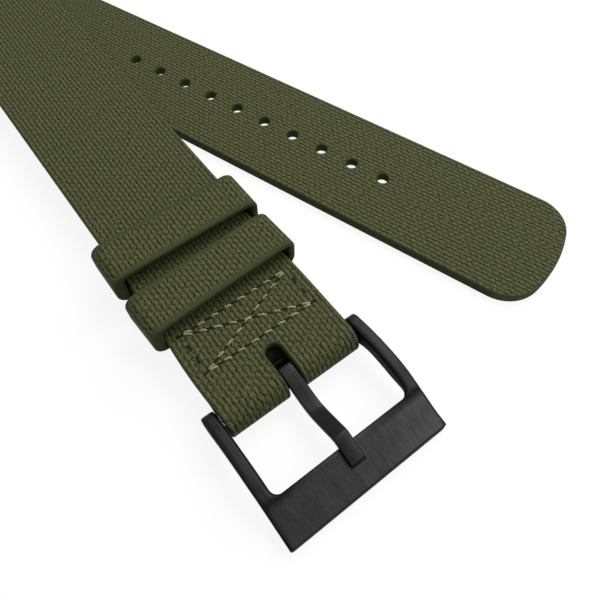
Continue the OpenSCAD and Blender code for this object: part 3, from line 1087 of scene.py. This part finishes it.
@dataclass
class BuckleProfile:
    """Side view of the buckle in millimetres, with the bar at the origin."""

    bar_z: float = 2.95
    frame_length: float = 19.08
    plate_start: float = 12.9
    plate_thickness: float = 1.9
    plate_slope: float = 22.0
    end_height: float = 4.0
    end_reach: float = 1.7
    end_lift: float = 0.2
    arch_thickness: float = 2.75
    arch_height: float = 2.85
    arch_x: float = 6.0
    arch_radius: float = 28.0
    arch_soft: float = 0.3
    taper_end: float = 5.0
    plate_passage: float = 9.0
    seat_depth: float = 0.3
    seat_play: float = 0.15
    rest_gap: float = 0.06
    eye_radius: float = 2.2
    eye_bore: float = 1.05
    blade_thickness: float = 1.2
    blade_over: float = 2.95
    dip_x: float = 6.3
    dip_height: float = 0.2
    climb_slope: float = 0.45
    climb_soft: float = 1.4
    crest_soft: float = 0.2

    def __post_init__(self) -> None:
        """Works out the tongue's length."""
        self.tongue_length = self.plate_start + self.blade_over

    def plate(self, x: float) -> float:
        """Height of the plate's falling face at x."""
        fall = math.tan(math.radians(self.plate_slope))
        return self.plate_thickness - self.bar_z + (self.frame_length - x) * fall

    def top(self, x: float) -> float:
        """Height of the frame's upper face at x, with its round end behind the bar."""
        if x < 0:
            return self.end_lift + self.end_height / 2 * math.sqrt(max(1 - (x / self.end_reach) ** 2, 0.0))
        arch = self.arch_height - (x - self.arch_x) ** 2 / (2 * self.arch_radius)
        return lower(arch, self.plate(x), self.arch_soft)

    def bottom(self, x: float) -> float:
        """Height of the frame's underside at x."""
        if x < 0:
            return 2 * self.end_lift - self.top(x)
        arm = self.end_height + (self.arch_thickness - self.end_height) * ease(x / self.taper_end)
        share = ease((x - self.plate_passage) / (self.plate_start - self.plate_passage))
        return (self.top(x) - arm) * (1 - share) + (self.plate(x) - self.plate_thickness) * share

    def blade(self, x: float) -> float:
        """Height of the middle of the tongue's blade at x."""
        start = self.eye_radius - self.blade_thickness / 2 - self.rest_gap
        if x < self.dip_x:
            return start + (self.dip_height - start) * ease(x / self.dip_x)
        rise = math.hypot(x - self.dip_x, self.climb_soft) - self.climb_soft
        seated = self.plate(x) - self.seat_depth + self.rest_gap + self.blade_thickness / 2
        return lower(self.dip_height + self.climb_slope * rise, seated, self.crest_soft)


@dataclass
class BuckleFrame:
    """The arched steel frame: a rounded plan, bent to its side view, with a seat and two pin holes."""

    layout: StrapLayout
    profile: BuckleProfile
    steel: Material
    gap_width: float = 22.9
    side: float = 2.0
    flat: float = 2.0
    inner_corner: float = 1.2
    outer_corner: float = 0.55
    end_corner: float = 0.45
    end_inset: float = 0.02
    rounding: float = 0.62
    thin_start: float = 16.5
    thin_run: float = 2.0
    thin_share: float = 0.6
    crisp_run: float = 1.6
    crisp_share: float = 0.4
    # Shares of painted shade, which also dulls the finish, on the edges, the arms and the plate's rim.
    edge_shade: float = 0.9
    arm_shade: float = 0.3
    rim_shade: float = 0.8
    tongue_width: float = 2.3
    seat_ceiling: float = 5.0
    hole_diameter: float = 1.1
    hole_depth: float = 1.3
    hole_start: float = 1.0
    name: str = "buckle_rim"

    def outline(self) -> Outline:
        """Plan of the frame, open towards the strap.

        Returns:
            Its points in order.
        """
        pro = self.profile
        out, gap = self.gap_width / 2 + self.side, self.gap_width / 2
        back, end = self.end_inset - pro.end_reach, pro.frame_length
        tip, c, r = self.end_corner, self.outer_corner, self.inner_corner
        half = [*arc((pro.plate_start - r, gap - r), r, 0, 90, 14), *arc((back + tip, gap + tip), tip, 270, 180, 4),
                *arc((back + tip, out - tip), tip, 180, 90, 4), *arc((end - c, out - c), c, 90, 0, 6)]
        return half + [(x, -y) for x, y in reversed(half)]

    def stations(self) -> list[float]:
        """Places along the frame at which its plan is cut so that it can bend."""
        round_end = [-1.62, -1.5, -1.3, -1.05, -0.7, -0.35]
        passage = [12.2, 12.5, 12.8, 13.1, 13.5, 13.9, 14.3]
        return [*round_end, *(i * 0.6 for i in range(21)), *passage, *(14.75 + i * 0.75 for i in range(6))]

    def bend(self, x: float, h: float) -> float:
        """Height over the bar of a point of the flat plan.

        Args:
            x: its place along the frame.
            h: its height over the middle of the flat plan.

        Returns:
            The height after bending; the rounding keeps its size and grows flatter at the plate's outer edge.
        """
        top, low = self.profile.top(x), self.profile.bottom(x)
        edge = 1.0 - self.thin_share * ease((x - self.thin_start) / self.thin_run)
        room = min(1.0, max((top - low) / (2.2 * self.rounding), 0.0))
        depth = (self.flat / 2 - abs(h)) * edge * room
        return top - depth if h > 0 else low + depth

    def crisp(self, x: float) -> float:
        """Draws the rounding of the plate's outer edge together.

        Args:
            x: a point's place along the frame.

        Returns:
            Its new place.
        """
        end = self.profile.frame_length
        behind, sharp = end - x, self.rounding * self.crisp_share
        if behind >= self.crisp_run:
            return x
        if behind < self.rounding:
            return end - behind * self.crisp_share
        return end - sharp - (behind - self.rounding) * (self.crisp_run - sharp) / (self.crisp_run - self.rounding)

    def painted_shade_at(self, x: float, h: float) -> float:
        """How much shade is painted on the frame at a point, which also dulls its finish: most on its rounded edges,
        some at the plate's rim, a little on the arms.

        Args:
            x: the point's place along the frame.
            h: its height over the middle of the flat plan.

        Returns:
            A number from 0 to 1.
        """
        start = self.profile.plate_start
        edge = min(1.0, (self.flat / 2 - abs(h)) / self.rounding * 3)
        arm = min(1.0, max(0.0, (start + 1.5 - x) / 3.5))
        rim = max(0.0, 1.0 - abs(x - start - 0.3))
        return max(edge * self.edge_shade, arm * self.arm_shade, rim * self.rim_shade)

    def cutters(self) -> Object:
        """Solids to take away: the tongue's seat and the two pin holes.

        Returns:
            Both in one object, in metres at their place.
        """
        pro = self.profile
        shape = bmesh.new()
        x0, x1 = pro.plate_start - 1.0, pro.tongue_length + pro.seat_play
        half, high = self.tongue_width / 2 + pro.seat_play, self.seat_ceiling
        corners = [(x0, pro.plate(x0) - pro.seat_depth), (x1, pro.plate(x1) - pro.seat_depth), (x1, high), (x0, high)]
        sides = [[shape.verts.new((x, y, z)) for x, z in corners] for y in (-half, half)]
        shape.faces.new(sides[0])
        shape.faces.new(sides[1][::-1])
        for i in range(4):
            j = (i + 1) % 4
            shape.faces.new((sides[0][j], sides[0][i], sides[1][i], sides[1][j]))
        for side in (-1, 1):
            middle = self.gap_width / 2 + (self.hole_depth - self.hole_start) / 2
            turn = Matrix.Translation((0, side * middle, 0)) @ Matrix.Rotation(math.pi / 2, 4, "X")
            radius = self.hole_diameter / 2
            bmesh.ops.create_cone(shape, cap_ends=True, segments=32, radius1=radius, radius2=radius,
                                  depth=self.hole_depth + self.hole_start, matrix=turn)
        bmesh.ops.recalc_face_normals(shape, faces=shape.faces)
        for vert in shape.verts:
            vert.co = self.layout.at_bar(*vert.co)
        return linked("buckle_cutters", mesh_of(shape, "buckle_cutters"))

    def build(self) -> None:
        """Makes the frame."""
        shape = rounded_plate([self.outline()], self.flat, self.rounding, self.name, 4)
        slice_at(shape, self.stations())
        painted_shade = shape.verts.layers.float.new(SHADE_MASK)
        for vert in shape.verts:
            x, y, h = vert.co
            # Painted shade on the edges, the plate's rim and the arms.
            vert[painted_shade] = self.painted_shade_at(x, h)
            vert.co = self.layout.at_bar(self.crisp(x), y, self.bend(x, h))
        bmesh.ops.recalc_face_normals(shape, faces=shape.faces)
        whole = finished(mesh_of(shape, self.name), self.name, self.steel, STEEL_CREASE)
        cutters = self.cutters()
        difference = whole.modifiers.new("seat_and_holes", "BOOLEAN")
        difference.operation = "DIFFERENCE"
        difference.solver = "EXACT"
        difference.object = cutters
        cut = evaluated(whole)
        bpy.data.objects.remove(cutters)
        piece = even_normals(finished(cut, self.name, self.steel, STEEL_CREASE))
        settle(piece, Body.BUCKLE, "buckle_frame")


@dataclass
class BuckleTongue:
    """The tongue: an eye round the bar and a blade that dips, climbs and bends onto the plate."""

    layout: StrapLayout
    profile: BuckleProfile
    steel: Material
    width: float = 2.3
    corner: float = 0.6
    rounding: float = 0.2
    tip_round: float = 0.3
    tip_width: float = 0.12
    eye_round: float = 1.95
    eye_meets: float = 2.1
    shoulder: float = -0.55
    shoulder_round: float = 0.05
    side_depth: float = 0.05
    # Share of painted shade, with a duller finish, on the tongue's sides.
    side_shade: float = 0.7
    name: str = "buckle_tongue"

    def outlines(self) -> list[Outline]:
        """Side view of the tongue.

        Returns:
            Its line and its bore's, as places along the strap and heights over the bar.
        """
        pro = self.profile
        half, end, soft = pro.blade_thickness / 2, pro.tongue_length, self.tip_round
        first, small = self.shoulder, self.shoulder_round
        xs = [first + (end - soft - first) * i / 74 for i in range(75)]
        blade = [(x, pro.blade(x) + half) for x in xs[1:]]
        step = math.sqrt(self.eye_round ** 2 - first ** 2)
        shoulder = [(first - small, step), (first, step + small), (first + 0.03, blade[0][1] - small)]
        slope = math.degrees(math.atan(pro.blade(end) - pro.blade(end - 1)))
        middle, room = pro.blade(end - soft), half - soft
        tip = arc((end - soft, middle + room), soft, 90 + slope, slope, 5)
        tip += arc((end - soft, middle - room), soft, 0, -90, 5)
        under = [(x, pro.blade(x) - half) for x in xs[::-1] if x > self.eye_meets]
        start = math.degrees(math.atan2(under[-1][1], under[-1][0]))
        stop = math.degrees(math.atan2(step, first)) - 360
        eye = arc((0, 0), self.eye_round, start - 6, stop + 4, 48)
        return [shoulder + blade + tip + under + eye, arc((0, 0), pro.eye_bore, 0, 350, 35)]

    def build(self) -> None:
        """Makes the tongue."""
        half = self.width / 2
        shape = rounded_plate(self.outlines(), self.width, self.rounding, self.name, 3)
        straight = self.profile.tongue_length - self.corner
        slice_at(shape, [straight + self.corner * i / 9 for i in range(9)])
        painted_shade = shape.verts.layers.float.new(SHADE_MASK)
        for vert in shape.verts:
            x, z, y = vert.co
            # Painted shade on the tongue's sides.
            vert[painted_shade] = self.side_shade if abs(y) > half - self.side_depth else 0.0
            # Full painted shade on the eye, inside the slot.
            if x < self.shoulder + 0.02:
                vert[painted_shade] = 1.0
            past = min(max(x - straight, 0.0), self.corner)
            room = half - self.corner + math.sqrt(self.corner ** 2 - past ** 2)
            y *= min(1.0, room / half + self.tip_width)
            vert.co = self.layout.at_bar(x, y, z)
        bmesh.ops.recalc_face_normals(shape, faces=shape.faces)
        piece = even_normals(finished(mesh_of(shape, self.name), self.name, self.steel, STEEL_CREASE))
        settle(piece, Body.TONGUE, "tongue")


@dataclass
class SpringBar:
    """The spring bar's pieces, kept as packed and given their steel."""

    steel: Material
    nodes: tuple[str, ...] = ("bar_tube", "bar_spring", "left_pin", "right_pin")

    def build(self) -> None:
        """Dresses each piece."""
        for name in self.nodes:
            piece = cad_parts[name]
            if not piece.material_slots:
                piece.data.materials.append(self.steel)
            for slot in piece.material_slots:
                slot.material = self.steel
            LOG.info("%s: packed solid, steel", name)


@dataclass
class Studio:
    """Pale floor, soft lamps, and the camera at the photograph's angle."""

    focal_px: float = 574.54
    picture_px: float = 600.0
    eye: Triple = (100.209, -33.858, 79.55)
    right: Triple = (0.60449, 0.79661, -0.00116)
    up: Triple = (-0.69319, 0.52673, 0.49198)
    forward: Triple = (-0.39253, 0.2966, -0.8706)
    sensor: float = 36.0
    clip: tuple[float, float] = (0.001, 20.0)
    aim: Triple = (0.04, -0.005, 0.0)
    horizon_level: float = 0.10
    zenith_level: float = 0.46
    floor_reach: float = 2.5
    floor_z: float = -0.00005
    floor_glow: float = 0.88
    paper: Colour = (0.92, 0.92, 0.92, 1.0)
    white: Colour = (1.0, 1.0, 1.0, 1.0)
    lamps: list[tuple[str, Triple, float, float]] = field(default_factory=lambda: [
        ("softbox_back", (-0.03, 0.22, 0.32), 0.28, 1.2),
        ("softbox_top", (0.08, 0.02, 0.50), 0.36, 0.45),
        ("softbox_plate", (0.42, 0.36, 0.56), 0.20, 1.3),
    ])

    def camera(self) -> None:
        """Sets the camera up."""
        data = bpy.data.cameras.new("studio_camera")
        data.sensor_width = self.sensor
        data.sensor_fit = "HORIZONTAL"
        data.lens = self.focal_px / self.picture_px * self.sensor
        data.clip_start, data.clip_end = self.clip
        camera = linked("studio_camera", data)
        turn = Matrix((self.right, self.up, tuple(-v for v in self.forward))).transposed()
        camera.matrix_world = Matrix.Translation(Vector(self.eye) * MM) @ turn.to_4x4()
        bpy.context.scene.camera = camera

    def lights(self) -> None:
        """Hangs the softboxes, all aimed at the strap."""
        for name, place, size, power in self.lamps:
            data = bpy.data.lights.new(name, "AREA")
            data.shape = "SQUARE"
            data.size = size
            data.energy = power
            lamp = linked(name, data)
            lamp.location = place
            lamp.rotation_euler = (Vector(self.aim) - Vector(place)).to_track_quat("-Z", "Y").to_euler()

    def world(self) -> None:
        """Makes a white world that lights the strap as a soft dome, brightest overhead."""
        mix = Recipe(bpy.data.worlds.new("studio_world"))
        height = mix.part(mix.add("ShaderNodeTexCoord", out="Generated"), "Z").maths("MAXIMUM", 0.0)
        dome = height * (self.zenith_level - self.horizon_level) + self.horizon_level
        seen = self.seen(mix)
        glow = mix.add("ShaderNodeBackground", {}, {"Color": self.white, "Strength": seen + (1 - seen) * dome})
        mix.add("ShaderNodeOutputWorld", {}, {"Surface": glow})
        bpy.context.scene.world = mix.owner

    def seen(self, mix: Recipe) -> Wire:
        """Marks the rays that show the backdrop, straight, mirrored or through glass.

        Args:
            mix: the world or material that asks.

        Returns:
            One for these rays and zero for all others.
        """
        rays = ("Is Camera Ray", "Is Glossy Ray", "Is Transmission Ray")
        camera, glossy, through = (mix.add("ShaderNodeLightPath", out=name) for name in rays)
        return camera.maths("MAXIMUM", glossy.maths("MAXIMUM", through))

    def floor(self) -> None:
        """Lays a pale floor that keeps a soft shadow."""
        mesh = bpy.data.meshes.new("floor")
        r, z = self.floor_reach, self.floor_z
        mesh.from_pydata([(-r, -r, z), (r, -r, z), (r, r, z), (-r, r, z)], [], [(0, 1, 2, 3)])
        floor = linked("floor", mesh)
        mix = Recipe(bpy.data.materials.new("pale_floor"))
        paper = mix.add("ShaderNodeBsdfDiffuse", {}, {"Color": self.paper})
        glow = mix.add("ShaderNodeEmission", {}, {"Color": self.white, "Strength": 1.0})
        both = mix.add("ShaderNodeMixShader", {}, {0: self.seen(mix) * self.floor_glow, 1: paper, 2: glow})
        mix.add("ShaderNodeOutputMaterial", {}, {"Surface": both})
        mesh.materials.append(mix.owner)

    def build(self) -> None:
        """Makes the whole studio."""
        self.camera()
        self.lights()
        self.world()
        self.floor()
        bpy.context.scene.view_settings.view_transform = "Standard"


def main() -> None:
    """Builds every sub-assembly in order."""
    logging.basicConfig(level=logging.INFO, format="%(name)s: %(message)s")
    layout, profile = StrapLayout(), BuckleProfile()
    rubber, thread, hole_shade = CanvasRubber().build(), TwistedThread().build(), NeedleHoleShade().build()
    steel, bare = BlackSteel().build(), BareSteel().build()
    tongue_steel = BlackSteel(name="black_tongue_steel", low=shade(18, 18, 19), high=shade(33, 33, 34),
                              stroke_count=7000.0, stroke_length=500.0, scratch_depth=0.000003, gloss=0.33).build()
    Studio().build()
    FoldedBand(layout, rubber).build()
    RubberKeeper(layout, rubber, "keeper_front", Body.FRONT_KEEPER, skew=layout.keeper_skew).build()
    RubberKeeper(layout, rubber, "keeper_rear", Body.REAR_KEEPER, behind=layout.keeper_pitch).build()
    for face in Face:
        StitchedBox(layout, thread, hole_shade, face).build()
    BuckleFrame(layout, profile, steel).build()
    BuckleTongue(layout, profile, tongue_steel).build()
    SpringBar(bare).build()


if __name__ == "__main__":
    main()
